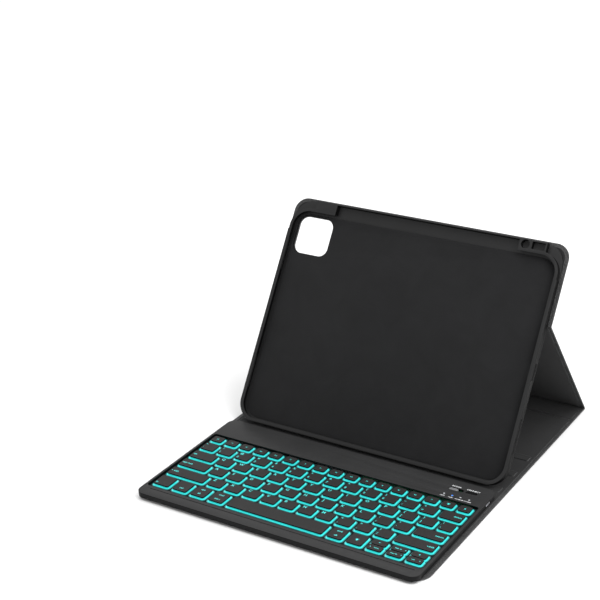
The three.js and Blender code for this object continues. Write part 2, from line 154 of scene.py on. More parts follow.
def maths(tree, operation, a, b):
    node = add_node(tree, "ShaderNodeMath", operation=operation)
    for socket, value in zip(node.inputs, (a, b)):
        if isinstance(value, (int, float)):
            socket.default_value = value
        else:
            tree.links.new(value, socket)
    return node.outputs[0]


def mix_color(tree, factor, dark, light):
    node = add_node(tree, "ShaderNodeMix", data_type="RGBA")
    node.inputs["A"].default_value = (*dark, 1)
    node.inputs["B"].default_value = (*light, 1)
    tree.links.new(factor, node.inputs["Factor"])
    return node.outputs["Result"]


def bump(tree, height, strength, distance, below=None):
    node = add_node(tree, "ShaderNodeBump")
    node.inputs["Strength"].default_value = strength
    node.inputs["Distance"].default_value = distance
    tree.links.new(height, node.inputs["Height"])
    if below is not None:
        tree.links.new(below, node.inputs["Normal"])
    return node.outputs["Normal"]


def leatherette(name="leatherette", grain_share=1.0):
    """Black leatherette: pebbles about two millimetres across, drawn out into fine wrinkles."""
    material, tree, shader = new_material(name, (0.03, 0.03, 0.03), 0.5, Specular_IOR_Level=0.42)
    point = surface_point(tree)
    warp = add_node(tree, "ShaderNodeTexNoise")
    warp.inputs["Scale"].default_value = 260
    warp.inputs["Detail"].default_value = 2
    tree.links.new(point, warp.inputs["Vector"])
    shift = add_node(tree, "ShaderNodeVectorMath", operation="SCALE")
    shift.inputs["Scale"].default_value = 0.0016
    tree.links.new(warp.outputs["Color"], shift.inputs[0])
    bent = add_node(tree, "ShaderNodeVectorMath", operation="ADD")
    tree.links.new(point, bent.inputs[0])
    tree.links.new(shift.outputs[0], bent.inputs[1])
    drawn = add_node(tree, "ShaderNodeMapping")
    drawn.inputs["Rotation"].default_value = (0, 0, math.radians(35))
    drawn.inputs["Scale"].default_value = (1.0, 1.7, 1.3)
    tree.links.new(bent.outputs[0], drawn.inputs["Vector"])
    pebble = add_node(tree, "ShaderNodeTexVoronoi", feature="F1")
    pebble.inputs["Scale"].default_value = 520
    tree.links.new(drawn.outputs[0], pebble.inputs["Vector"])
    height = remap(tree, pebble.outputs["Distance"], 0.1, 0.75, 1.0, 0.0)
    soft = bump(tree, noise(tree, 160, 3, 0.6), 0.4, 0.001)
    grain = bump(tree, height, 0.85 * grain_share, 0.00045, soft)
    pores = bump(tree, noise(tree, 3600, 2, 0.6), 0.3, 0.00008, grain)
    tree.links.new(pores, shader.inputs["Normal"])
    patches = noise(tree, 18, 3, 0.6)
    shade = maths(
        tree, "MULTIPLY", remap(tree, height, 0, 1, 0.75, 1.0), remap(tree, patches, 0.3, 0.7, 0.8, 1.1))
    color = mix_color(tree, shade, (0.006, 0.006, 0.0062), (0.036, 0.036, 0.0365))
    tree.links.new(color, shader.inputs["Base Color"])
    tree.links.new(remap(tree, height, 0, 1, 0.62, 0.42), shader.inputs["Roughness"])
    return material


def microfibre(name="microfibre", dark=(0.006, 0.006, 0.0062), light=(0.017, 0.017, 0.0175)):
    """Brushed black microfibre: short nap in soft clouds."""
    material, tree, shader = new_material(name, light, 0.92)
    shader.inputs["Sheen Weight"].default_value = 0.12
    shader.inputs["Sheen Roughness"].default_value = 0.45
    shader.inputs["Specular IOR Level"].default_value = 0.25
    clouds = noise(tree, 34, 5, 0.62, 0.6)
    nap = noise(tree, 3600, 3, 0.7)
    tufts = noise(tree, 950, 3, 0.65)
    shade = maths(
        tree, "MULTIPLY", remap(tree, clouds, 0.3, 0.7, 0.55, 1.0), remap(tree, nap, 0.25, 0.75, 0.5, 1.0))
    tree.links.new(mix_color(tree, shade, dark, light), shader.inputs["Base Color"])
    tufted = bump(tree, tufts, 0.4, 0.00016)
    tree.links.new(bump(tree, nap, 0.5, 0.00009, tufted), shader.inputs["Normal"])
    return material


def moulded(name, dark, light, roughness, grain_scale=2600, grain_depth=0.00005, wear=0.05, **sockets):
    """Spark-eroded plastic: a fine even grain with slightly polished patches."""
    material, tree, shader = new_material(name, light, roughness, **sockets)
    patches = noise(tree, 26, 4, 0.6)
    grain = noise(tree, grain_scale, 3, 0.6)
    shade = maths(
        tree, "MULTIPLY", remap(tree, patches, 0.3, 0.7, 0.6, 1.0), remap(tree, grain, 0.3, 0.7, 0.8, 1.0))
    tree.links.new(mix_color(tree, shade, dark, light), shader.inputs["Base Color"])
    polish = remap(tree, patches, 0.3, 0.7, roughness - wear, roughness + wear)
    tree.links.new(polish, shader.inputs["Roughness"])
    tree.links.new(bump(tree, grain, 0.5, grain_depth), shader.inputs["Normal"])
    return material


def lit(name, color, strength, base=(0.05, 0.5, 0.48)):
    """Translucent plastic with light behind it, a little uneven."""
    material, tree, shader = new_material(name, base, 0.4)
    shader.inputs["Emission Strength"].default_value = strength
    spots = remap(tree, noise(tree, 120, 3, 0.5), 0.3, 0.7, 0.0, 1.0)
    dim = tuple(0.72 * channel for channel in color)
    tree.links.new(mix_color(tree, spots, dim, color), shader.inputs["Emission Color"])
    return material


def metal(name, color, roughness, brush=True):
    material, tree, shader = new_material(name, color, roughness, Metallic=1.0)
    drawn = add_node(tree, "ShaderNodeMapping")
    across = 30.0 if brush else 1.0
    drawn.inputs["Scale"].default_value = (1.0, across, across)
    tree.links.new(surface_point(tree), drawn.inputs["Vector"])
    lines = noise(tree, 300, 3, 0.6, vector=drawn.outputs[0])
    polish = remap(tree, lines, 0.3, 0.7, roughness - 0.08, roughness + 0.1)
    tree.links.new(polish, shader.inputs["Roughness"])
    tree.links.new(bump(tree, lines, 0.2, 0.00003), shader.inputs["Normal"])
    return material


def circuit():
    """Green solder mask over a faint grid of tracks."""
    material, tree, shader = new_material("circuit", (0.02, 0.12, 0.06), 0.4)
    tracks = add_node(tree, "ShaderNodeTexBrick")
    tracks.inputs["Scale"].default_value = 160
    tracks.inputs["Color1"].default_value = (0.015, 0.1, 0.05, 1)
    tracks.inputs["Color2"].default_value = (0.02, 0.13, 0.065, 1)
    tracks.inputs["Mortar"].default_value = (0.05, 0.24, 0.11, 1)
    tree.links.new(surface_point(tree), tracks.inputs["Vector"])
    tree.links.new(tracks.outputs["Color"], shader.inputs["Base Color"])
    return material


SOFT_GLOSS = {"Specular_IOR_Level": 0.32}
LEATHER = leatherette()
FOLD_LEATHER = leatherette("fold_leather", 0.6)
LINING = microfibre()
MAGNET_SKIN = moulded("magnet_skin", (0.01, 0.01, 0.0103), (0.02, 0.02, 0.0205), 0.3, 1500)
BAY_CLOTH = microfibre("bay_cloth", (0.004, 0.004, 0.0043), (0.011, 0.011, 0.0118))
TRAY = moulded("tray_plastic", (0.007, 0.007, 0.0072), (0.014, 0.014, 0.0144), 0.38, 2200, **SOFT_GLOSS)
# Painted shade: the tray's upright walls take this darker, duller copy of the tray plastic.
TRAY_PAINTED_SHADE = moulded(
    "tray_sides_painted_shade", (0.001, 0.001, 0.001), (0.003, 0.003, 0.0031), 0.6, 2200, Specular_IOR_Level=0.07)
HOUSING = moulded(
    "keyboard_housing", (0.02, 0.02, 0.0202), (0.029, 0.029, 0.0295), 0.45, 3200, Specular_IOR_Level=0.12)
# Painted shade: a darker copy of the housing plastic, for the top case's upright walls and the whole bottom
# case.
HOUSING_PAINTED_SHADE = moulded(
    "keyboard_sides_painted_shade", (0.004, 0.004, 0.0042), (0.008, 0.008, 0.0084), 0.5, 3000, Specular_IOR_Level=0.1)
KEY_TOP = moulded(
    "key_top", (0.017, 0.0168, 0.0167), (0.024, 0.0238, 0.0237), 0.5, 4200, 0.00004, Specular_IOR_Level=0.12)
# Painted shade: the keycaps' sides are near black where they face away from the light.
KEY_SIDE_PAINTED_SHADE = moulded(
    "key_side_painted_shade", (0.001, 0.001, 0.001), (0.002, 0.002, 0.002), 0.7, 4200, 0.00004, Specular_IOR_Level=0.02)
KEY_DECK = moulded(
    "key_deck", (0.002, 0.006, 0.006), (0.004, 0.012, 0.012), 0.7, 2500, Specular_IOR_Level=0.1)
KNOB = moulded("switch_knob", (0.1, 0.1, 0.103), (0.18, 0.18, 0.185), 0.3, 3000, 0.00002)
BUTTON = moulded("button_plastic", (0.004, 0.004, 0.0042), (0.008, 0.008, 0.0084), 0.22, 3000, 0.00002)
GLOW = (0.02, 0.64, 0.63)
KEY_LIGHT = lit("key_light", GLOW, 0.9)
KEY_HALO = lit("key_halo", GLOW, 0.3, (0.01, 0.1, 0.1))
LEGEND_LIGHT = lit("legend", (0.02, 0.62, 0.58), 0.62)
LABEL = moulded("printed_label", (0.62, 0.63, 0.64), (0.75, 0.76, 0.77), 0.5, 3000, 0.00001)
LINK_LIGHT = lit("indicator_blue", (0.01, 0.2, 0.9), 1.6, (0.02, 0.1, 0.4))
PIPE = moulded("light_pipe", (0.3, 0.31, 0.32), (0.5, 0.52, 0.54), 0.25, 900, 0.00001)
STEEL = metal("bright_steel", (0.55, 0.55, 0.57), 0.28)
FOIL = metal("battery_foil", (0.5, 0.52, 0.55), 0.36, brush=False)
CIRCUIT = circuit()
FILM = moulded("membrane_film", (0.4, 0.41, 0.38), (0.6, 0.61, 0.57), 0.3, 400, 0.00001)


# ---- Mesh building -------------------------------------------------------------------------------------

class Sheet:
    """Vertices and faces gathered in millimetres, with a material for each face."""

    def __init__(self, materials):
        self.materials = materials
        self.points = []
        self.faces = []
        self.slots = []

    def add_faces(self, points, faces, slot):
        start = len(self.points)
        self.points += [tuple(p) for p in points]
        self.faces += [tuple(start + i for i in face) for face in faces]
        self.slots += [slot] * len(faces)

    def add_rings(self, rings, slots, close_low=True, close_high=True):
        """Closed rings of equal length, joined by quads; slots names each band's material."""
        count = len(rings[0])
        start = len(self.points)
        for ring in rings:
            self.points += [tuple(p) for p in ring]
        for band in range(len(rings) - 1):
            low, high = start + band * count, start + (band + 1) * count
            for i in range(count):
                j = (i + 1) % count
                self.faces.append((low + i, low + j, high + j, high + i))
                self.slots.append(slots[band])
        if close_low:
            self.faces.append(tuple(reversed(range(start, start + count))))
            self.slots.append(slots[0])
        if close_high:
            top = start + (len(rings) - 1) * count
            self.faces.append(tuple(range(top, top + count)))
            self.slots.append(slots[-1])

    def add_prism(self, outline, low, high, slot):
        rings = [[(x, y, z) for x, y in outline] for z in (low, high)]
        self.add_rings(rings, [slot])

    def build(self, name, place, smooth=35):
        mesh = bpy.data.meshes.new(name)
        matrix = Matrix.Scale(MM, 4) @ place
        mesh.from_pydata([matrix @ Vector(p) for p in self.points], [], self.faces)
        for material in self.materials:
            mesh.materials.append(material)
        mesh.polygons.foreach_set("material_index", self.slots)
        return finish_mesh(name, mesh, smooth)


def finish_mesh(name, mesh, smooth):
    """A piece of a mesh whose wide flat faces, those of more than four corners, are shaded flat."""
    mesh.validate()
    mesh.polygons.foreach_set("use_smooth", [polygon.loop_total <= 4 for polygon in mesh.polygons])
    mesh.set_sharp_from_angle(angle=math.radians(smooth))
    piece = bpy.data.objects.new(name, mesh)
    bpy.context.scene.collection.objects.link(piece)
    return piece


def rounded_outline(x0, y0, x1, y1, radii, inset=0.0, steps=8, least=0.02, ends=(1, 1)):
    """Outline of a rounded rectangle, anticlockwise from the front left, drawn in by inset.

    Its corners keep at least the radius least, however far it is drawn in.  Its front and rear ends are
    drawn in by their own share of inset.
    """
    if not isinstance(radii, (list, tuple)):
        radii = [radii] * 4
    y0, y1 = y0 - inset * (1 - ends[0]), y1 + inset * (1 - ends[1])
    corners = [(x0, y0, 1, 1, 180), (x1, y0, -1, 1, 270), (x1, y1, -1, -1, 0), (x0, y1, 1, -1, 90)]
    outline = []
    for (x, y, sx, sy, start), radius in zip(corners, radii):
        keep = max(radius - inset, least)
        cx, cy = x + sx * (inset + keep), y + sy * (inset + keep)
        for step in range(steps + 1):
            angle = math.radians(start + 90 * step / steps)
            outline.append((cx + keep * math.cos(angle), cy + keep * math.sin(angle)))
    return outline


def profile_rings(rectangle, radii, profile, steps=8):
    """Rings of a rounded rectangle for each (inset, height, least radius, ends) of a profile."""
    rings = []
    for inset, height, *corners in profile:
        outline = rounded_outline(*rectangle, radii, inset, steps, *corners)
        rings.append([(x, y, height) for x, y in outline])
    return rings


def finished(piece, body, slot_name, *nodes):
    """A piece in place: it rides on its body and stands for its CAD nodes; slot_name is not used."""
    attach(piece, body)
    if nodes:
        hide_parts(*nodes)
    return piece


def cut_with(piece, cutters):
    """Subtracts closed cutters from a piece and bakes the result into its mesh."""
    for cutter in cutters:
        modifier = piece.modifiers.new("cut", "BOOLEAN")
        modifier.operation = "DIFFERENCE"
        modifier.solver = "EXACT"
        modifier.object = cutter
    bpy.context.view_layer.update()
    depsgraph = bpy.context.evaluated_depsgraph_get()
    mesh = bpy.data.meshes.new_from_object(piece.evaluated_get(depsgraph))
    piece.modifiers.clear()
    piece.data = mesh
    mesh.polygons.foreach_set("use_smooth", [polygon.loop_total <= 4 for polygon in mesh.polygons])
    for cutter in cutters:
        bpy.data.objects.remove(cutter)
    return piece


# ---- Folio cover ---------------------------------------------------------------------------------------

# Section through a board's edge, as (inset, height): pressed margin and pad of the leather outside,
# rolled edge, then a narrow leather hem and the raised lining inside.
PAD_CORNER = 6
LINING_CORNER = 3
OUTSIDE_PROFILE = [
    (6.2, -1.1, PAD_CORNER),
    (5.2, -1.07, PAD_CORNER),
    (4.6, -0.95, PAD_CORNER),
    (4.25, -0.7, PAD_CORNER),
    (4.0, -0.5, PAD_CORNER),
    (3.6, -0.48, PAD_CORNER),
    (2.4, -0.66),
    (0.9, -0.66),
    (0.35, -0.56),
    (0.06, -0.3),
]
INSIDE_PROFILE = [(0.0, -0.1), (0.0, 0.2), (0.1, 0.5), (0.4, 0.72), (0.9, 0.78), (3.2, 0.76), (3.5, 0.78)]
LINING_PROFILE = [(3.7, 0.92), (3.9, 1.03), (4.3, 1.1), (5.4, 1.1)]
FOLD_SHARE = 0.1  # the lining runs on almost to a fold


def cover_panel(name, place, y0, y1, radii, body, nodes, cutters=()):
    """One board of the cover in its leather, from y0 to y1 of its local frame; a radius of 0 marks a fold."""
    ends = [FOLD_SHARE if radii[i] == 0 else 1 for i in (0, 2)]
    inside = [(inset, height, 0.02, ends) for inset, height in INSIDE_PROFILE]
    corner = LINING_CORNER if 1 in ends else 0.02
    lining = [(inset, height, corner, ends) for inset, height in LINING_PROFILE]
    profile = OUTSIDE_PROFILE + inside + lining
    leather_bands = len(OUTSIDE_PROFILE) + len(INSIDE_PROFILE)
    bands = [0] * leather_bands + [1] * (len(profile) - leather_bands)
    sheet = Sheet([LEATHER, LINING])
    rings = profile_rings((-HALF_WIDTH, y0, HALF_WIDTH, y1), [max(r, 0.9) for r in radii], profile)
    sheet.add_rings(rings, bands[: len(profile) - 1])
    piece = sheet.build(name, place)
    if cutters:
        cut_with(piece, cutters)
    return finished(piece, body, "cover_leather", *nodes)


def fold_leather(name, axis, angle_in, angle_out, gap, bodies, node, leather):
    """The strip of leather that bends at a fold, tucked under the board on each side of it.

    The boards meet at axis, a point in Y and Z; angle_in is the way the cover comes to the fold and
    angle_out the way it leaves, both up from level.
    """
    tuck = 1.6
    outer, inner = 0.62, 0.9
    arrive, leave = unit(angle_in), unit(angle_out)
    bend = angle_out - angle_in
    reach = gap + tuck
    square = (unit(angle_in + math.pi / 2), unit(angle_out + math.pi / 2))

    def face(side, offset):
        """Points along one face, from the arriving board to the leaving one; side is 1 for the lining."""
        points = [axis - arrive * reach + square[0] * side * offset]
        points.append(axis - arrive * gap + square[0] * side * offset)
        if side * bend > 0:  # the hollow of the fold
            depth = offset / math.cos(bend / 2)
            points.append(axis + unit((angle_in + angle_out) / 2 + math.pi / 2) * side * depth)
        else:
            steps = 8
            for i in range(steps + 1):
                turned = angle_in + bend * i / steps + math.pi / 2
                points.append(axis + unit(turned) * side * offset)
        points.append(axis + leave * gap + square[1] * side * offset)
        points.append(axis + leave * reach + square[1] * side * offset)
        return points

    section = face(-1, outer) + face(1, inner)[::-1]
    columns = 40
    sheet = Sheet([leather])
    width = HALF_WIDTH - 0.25
    rings = []
    for column in range(columns + 1):
        x = -width + 2 * width * column / columns
        rings.append([(x, p.x, p.y) for p in section])
    sheet.add_rings(rings, [0] * columns)
    piece = sheet.build(name, ROW_FRAME, smooth=60)
    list(bodies)
    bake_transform(piece)
    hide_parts(node)
    return piece


def unit(angle):
    return Vector((math.cos(angle), math.sin(angle)))


def fold_axis(joint):
    point = joint_point(joint)
    return Vector((point.y, point.z))


def magnet_ridge(index):
    """A magnet bar under the lining: a low flat ridge with a crisp edge and rounded ends."""
    node = f"magnet_bar_{index}"
    low, high = box_mm(node)
    top = high.z - BOARD / 2
    profile = [(-0.25, 1.02), (-0.05, 1.12), (0.1, top - 0.2), (0.25, top - 0.04), (0.5, top), (1.4, top)]
    sheet = Sheet([MAGNET_SKIN, LINING])
    rings = profile_rings((low.x, low.y, high.x, high.y), 1.6, profile)
    sheet.add_rings(rings, [0, 0, 0, 0, 1, 1])
    finished(sheet.build(node + "_cover", BASE_FRAME), "front_cover", "inner_cloth", node)


def cutout_outline(shrink, inset=0):
    """The camera cut-out's outline, made smaller by shrink and then drawn in by inset."""
    x, y, half = CAMERA_CUTOUT["x"], CAMERA_CUTOUT["y"], CAMERA_CUTOUT["half"] - shrink
    corner = CAMERA_CUTOUT["corner"] - shrink
    return rounded_outline(x - half, y - half, x + half, y + half, corner, inset, steps=12)


def camera_hole(z0, z1):
    """A closed cutter for the camera cut-out, in the tray's leaning frame."""
    cutter = Sheet([LEATHER])
    cutter.add_prism(cutout_outline(0), z0, z1, 0)
    return cutter.build("camera_cutter", TRAY_FRAME)


def camera_trim():
    """A thin moulded ring that finishes the leather round the camera cut-out."""
    clearance = 0.3
    section = [
        (0, -1.25), (0, 1.0), (0.9, 1.0), (0.9, -1.1), (0.75, -1.3), (0.3, -1.4), (-0.7, -1.3), (-1.1, -1.12)]
    rings = [[(x, y, height) for x, y in cutout_outline(clearance, inset)] for inset, height in section]
    sheet = Sheet([TRAY])
    sheet.add_rings(rings + rings[:1], [0] * len(rings), close_low=False, close_high=False)
    finished(sheet.build("camera_trim", TRAY_FRAME), "tray", "tray_plastic")


def build_cover():
    flap_fold, band_fold = joint_point("flap_fold").y, joint_point("band_fold").y
    spine_fold, rear_fold = joint_point("spine_fold").y, joint_point("rear_fold").y
    flap_low, _ = box_mm("flap_panel")
    square, free, top = 0, FLAP_CORNER, PANEL_CORNER
    cover_panel(
        "flap_cover", BASE_FRAME, flap_low.y, flap_fold - FOLD_GAP, [free, free, square, square],
        "flap", ["flap_panel"])
    cover_panel(
        "wrap_band_cover", BASE_FRAME, flap_fold + FOLD_GAP, band_fold - FOLD_GAP, [square] * 4,
        "flap_band", ["wrap_band"])
    cover_panel(
        "front_cover", BASE_FRAME, band_fold + FOLD_GAP, spine_fold - FOLD_GAP, [square] * 4,
        "front_cover", ["front_cover_panel"])
    cover_panel(
        "spine_cover", BASE_FRAME, spine_fold + FOLD_GAP, rear_fold - REAR_FOLD_GAP, [square] * 4,
        "spine", ["spine_panel"])
    cover_panel(
        "strut_cover", STRUT_FRAME, REAR_FOLD_GAP, STRUT_LENGTH - FOLD_GAP, [square] * 4,
        "strut", ["strut_panel"])
    cover_panel(
        "upper_back_cover", TRAY_FRAME, FOLD_GAP, PANEL_LENGTH, [square, square, top, top],
        "tray", ["upper_back_panel"], [camera_hole(-3, 2.6)])
    camera_trim()
    for index in (1, 2, 3):
        magnet_ridge(index)

    for fold, angles, gap, bodies, leather in (
        ("flap_fold", (0, 0), FOLD_GAP, ("flap", "flap_band"), FOLD_LEATHER),
        ("band_fold", (0, 0), FOLD_GAP, ("flap_band", "front_cover"), FOLD_LEATHER),
        ("spine_fold", (0, 0), FOLD_GAP, ("front_cover", "spine"), FOLD_LEATHER),
        ("rear_fold", (0, STRUT_ANGLE), REAR_FOLD_GAP, ("spine", "strut"), FOLD_LEATHER),
        ("middle_fold", (STRUT_ANGLE, TRAY_ANGLE), FOLD_GAP, ("strut", "tray"), LEATHER),
    ):
        fold_leather(f"{fold}_strip", fold_axis(fold), *angles, gap, bodies, f"{fold}_leather", leather)


# ---- CAD pieces with finer edges -----------------------------------------------------------------------

SHARP = math.radians(28)


def refined(node, name, body, slot_name, material, edge=0.25, segments=2, side=None, facing=(0, 0, 1)):
    """A copy of a CAD node with its flat facets joined and its edges rounded by edge millimetres.

    Faces that stand along the direction facing take the side material, if one is given: a darker copy of the
    material, which paints shade on them.
    """
    source = frame["nodes"][node]
    work = bmesh.new()
    work.from_mesh(source.data)
    bmesh.ops.remove_doubles(work, verts=work.verts, dist=2e-6)
    bmesh.ops.dissolve_limit(work, angle_limit=math.radians(0.6), verts=work.verts, edges=work.edges)
    edges = [e for e in work.edges if len(e.link_faces) == 2 and e.calc_face_angle() > SHARP]
    bmesh.ops.bevel(
        work, geom=edges, offset=edge * MM, segments=segments, profile=0.5, affect="EDGES",
        clamp_overlap=True)
    mesh = bpy.data.meshes.new(name)
    work.to_mesh(mesh)
    work.free()
    mesh.materials.clear()
    mesh.materials.append(material)
    if side is not None:
        mesh.materials.append(side)
        # Upright faces take the darker side material: painted shade.
        upright = [int(abs(p.normal.dot(Vector(facing))) < 0.35) for p in mesh.polygons]
        mesh.polygons.foreach_set("material_index", upright)
    return finished(finish_mesh(name, mesh, 35), body, slot_name, node)


def dress(node, material):
    """A shown CAD node keeps its shape and takes a finer material."""
    data = frame["nodes"][node].data
    data.materials.clear()
    data.materials.append(material)


def build_tray():
    out_of_tray = (0, -math.sin(TRAY_ANGLE), math.cos(TRAY_ANGLE))
    # The tray's upright walls take a darker copy of its plastic as painted shade.
    refined(
        "tray_shell", "tray", "tray", "tray_plastic", TRAY, edge=0.3, segments=3, side=TRAY_PAINTED_SHADE,
        facing=out_of_tray)
    refined("bay_lining", "bay_cloth_lining", "tray", "inner_cloth", BAY_CLOTH, edge=0.12)


def build_housing():
    # The top case's upright walls and the bottom case take a darker copy of the housing plastic as painted
    # shade.
    refined(
        "keyboard_top_case", "keyboard_deck", "keyboard", "keyboard_housing", HOUSING, edge=0.35, segments=3,
        side=HOUSING_PAINTED_SHADE)
    refined("keyboard_bottom_case", "keyboard_base", "keyboard", "keyboard_housing", HOUSING_PAINTED_SHADE, edge=0.15)
    refined(
        "power_switch_knob", "power_switch", "power_switch", "control_plastic", KNOB, edge=0.35, segments=3)
    refined(
        "connect_button", "connect_key", "connect_button", "control_plastic", BUTTON, edge=0.5, segments=3)
    refined("charging_port", "charging_socket", "keyboard", "bright_steel", STEEL, edge=0.06)
    dress("backlight_plate", KEY_DECK)
    dress("key_membrane", FILM)
    dress("circuit_board", CIRCUIT)
    dress("indicator_light_guide", PIPE)
    for node in ("battery_left", "battery_right"):
        dress(node, FOIL)
    for node in ("holding_magnet_left", "holding_magnet_right", "flap_magnet"):
        dress(node, STEEL)


# ---- Legends: letters and simple icons -----------------------------------------------------------------

GLYPHS = {}


def glyph_mesh(text):
    """A word as filled outlines one millimetre high, centred on its own box: (points, faces, width)."""
    if text not in GLYPHS:
        curve = bpy.data.curves.new("glyph", "FONT")
        curve.body = text
        curve.size = 1.37
        curve.resolution_u = 2
        curve.offset = 0.018
        holder = bpy.data.objects.new("glyph", curve)
        bpy.context.scene.collection.objects.link(holder)
        bpy.context.view_layer.update()
        shape = holder.evaluated_get(bpy.context.evaluated_depsgraph_get()).to_mesh()
        points = [v.co.copy() for v in shape.vertices]
        faces = [tuple(p.vertices) for p in shape.polygons]
        bpy.data.objects.remove(holder)
        bpy.data.curves.remove(curve)
        xs = [p.x for p in points] or [0]
        shift = Vector(((min(xs) + max(xs)) / 2, 0.5, 0))
        GLYPHS[text] = ([p - shift for p in points], faces, max(xs) - min(xs))
    return GLYPHS[text]


def disc(x, y, radius, sides=14):
    turn = 2 * math.pi / sides
    return [(x + radius * math.cos(i * turn), y + radius * math.sin(i * turn)) for i in range(sides)]


def bar_outline(x0, y0, x1, y1, width):
    """A straight stroke from one point to another."""
    along = Vector((x1 - x0, y1 - y0)).normalized() * width / 2
    side = Vector((-along.y, along.x))
    a, b = Vector((x0, y0)), Vector((x1, y1))
    return [tuple(p) for p in (a - side, b - side, b + side, a + side)]


def frame_strokes(x0, y0, x1, y1, width):
    """The four strokes of a hollow rectangle."""
    return [
        bar_outline(x0, y0, x1, y0, width),
        bar_outline(x1, y0, x1, y1, width),
        bar_outline(x1, y1, x0, y1, width),
        bar_outline(x0, y1, x0, y0, width),
    ]


def ring_strokes(x, y, radius, width, sides=12):
    rim = disc(x, y, radius, sides)
    return [bar_outline(*rim[i], *rim[(i + 1) % sides], width) for i in range(sides)]


def sun_icon(radius):
    rays = []
    for i in range(8):
        c, s = math.cos(i * math.pi / 4), math.sin(i * math.pi / 4)
        rays.append(bar_outline(c * radius * 1.5, s * radius * 1.5, c * radius * 2.1, s * radius * 2.1, 0.16))
    return [disc(0, 0, radius), *rays]


def speaker_icon(waves):
    body = [(-1.0, -0.35), (-0.6, -0.35), (-0.1, -0.8), (-0.1, 0.8), (-0.6, 0.35), (-1.0, 0.35)]
    arcs = []
    for wave in range(waves):
        radius = 0.45 + 0.4 * wave
        turns = [math.radians(a) for a in (-45, -15, 15, 45)]
        rim = [(0.1 + radius * math.cos(a), radius * math.sin(a)) for a in turns]
        arcs += [bar_outline(*rim[i], *rim[i + 1], 0.16) for i in range(3)]
    return [body, *arcs]


def triangle(x, size):
    return [(x - size / 2, -size * 0.6), (x + size / 2, 0), (x - size / 2, size * 0.6)]


def mirrored(outlines):
    return [[(-x, y) for x, y in reversed(outline)] for outline in outlines]


def arrow_icon(turns):
    """A small solid triangle, turned by quarter turns from pointing right."""
    angle = turns * math.pi / 2
    c, s = math.cos(angle), math.sin(angle)
    return [[(x * c - y * s, x * s + y * c) for x, y in triangle(0, 1.1)]]


def lock_icon():
    block = [(-0.6, -0.8), (0.6, -0.8), (0.6, 0.1), (-0.6, 0.1)]
    return [block, *frame_strokes(-0.38, 0.1, 0.38, 0.75, 0.17)]


def lens_icon():
    return [*ring_strokes(-0.15, 0.15, 0.55, 0.17), bar_outline(0.25, -0.25, 0.8, -0.8, 0.2)]


def bulb_icon():
    socket = [(-0.35, -0.95), (0.35, -0.95), (0.35, -0.5), (-0.35, -0.5)]
    return [disc(0, 0.35, 0.85, 16), socket, *sun_rays(0.35)]


def sun_rays(height):
    rays = []
    for degrees in range(0, 181, 36):
        c, s = math.cos(math.radians(degrees)), math.sin(math.radians(degrees))
        rays.append(bar_outline(c * 1.15, height + s * 1.15, c * 1.55, height + s * 1.55, 0.18))
    return rays


FUNCTION_ICONS = [
    frame_strokes(-0.7, -0.6, 0.7, 0.6, 0.18),
    sun_icon(0.32),
    sun_icon(0.45),
    [*frame_strokes(-0.9, -0.6, 0.3, 0.5, 0.17), *frame_strokes(-0.2, -0.9, 0.95, 0.15, 0.17)],
    [*frame_strokes(-1.0, -0.55, 1.0, 0.55, 0.16), bar_outline(-0.6, -0.25, 0.6, -0.25, 0.16)],
    lens_icon(),
    [disc(0, 0.1, 0.42), bar_outline(0, -0.9, 0, -0.4, 0.16), bar_outline(-0.4, -0.9, 0.4, -0.9, 0.16)],
    [bar_outline(-0.7, height, 0.7, height, 0.17) for height in (0.5, 0, -0.5)],
    mirrored([triangle(-0.45, 0.9), triangle(0.45, 0.9)]),
    [triangle(-0.55, 1.0), bar_outline(0.3, -0.6, 0.3, 0.6, 0.22), bar_outline(0.75, -0.6, 0.75, 0.6, 0.22)],
    [triangle(-0.45, 0.9), triangle(0.45, 0.9)],
    speaker_icon(0),
    speaker_icon(1),
    speaker_icon(2),
    ring_strokes(0, 0, 0.6, 0.18),
    bulb_icon(),
    lock_icon(),
]


# ---- Keycaps -------------------------------------------------------------------------------------------

CAP_THICK = 1.2
CAP_CORNER = 1.6
SIDE_PROFILE = [(0.25, 0.0), (0.03, 0.1), (0.0, 0.3), (0.01, 1.05)]
TOP_PROFILE = [(0.05, 1.13), (0.16, 1.18), (0.4, 1.2), (0.8, 1.2)]
KEY_GAP = 4.9
PLATE_TOP = box_mm("backlight_plate")[1].z
PRINT = 0.03  # how far printing stands out of a surface
LETTER = 3.3
WORD = 2.2
SMALL = 1.45

HALO_SHEET = Sheet([KEY_HALO])
LIGHT_SHEET = Sheet([KEY_LIGHT])


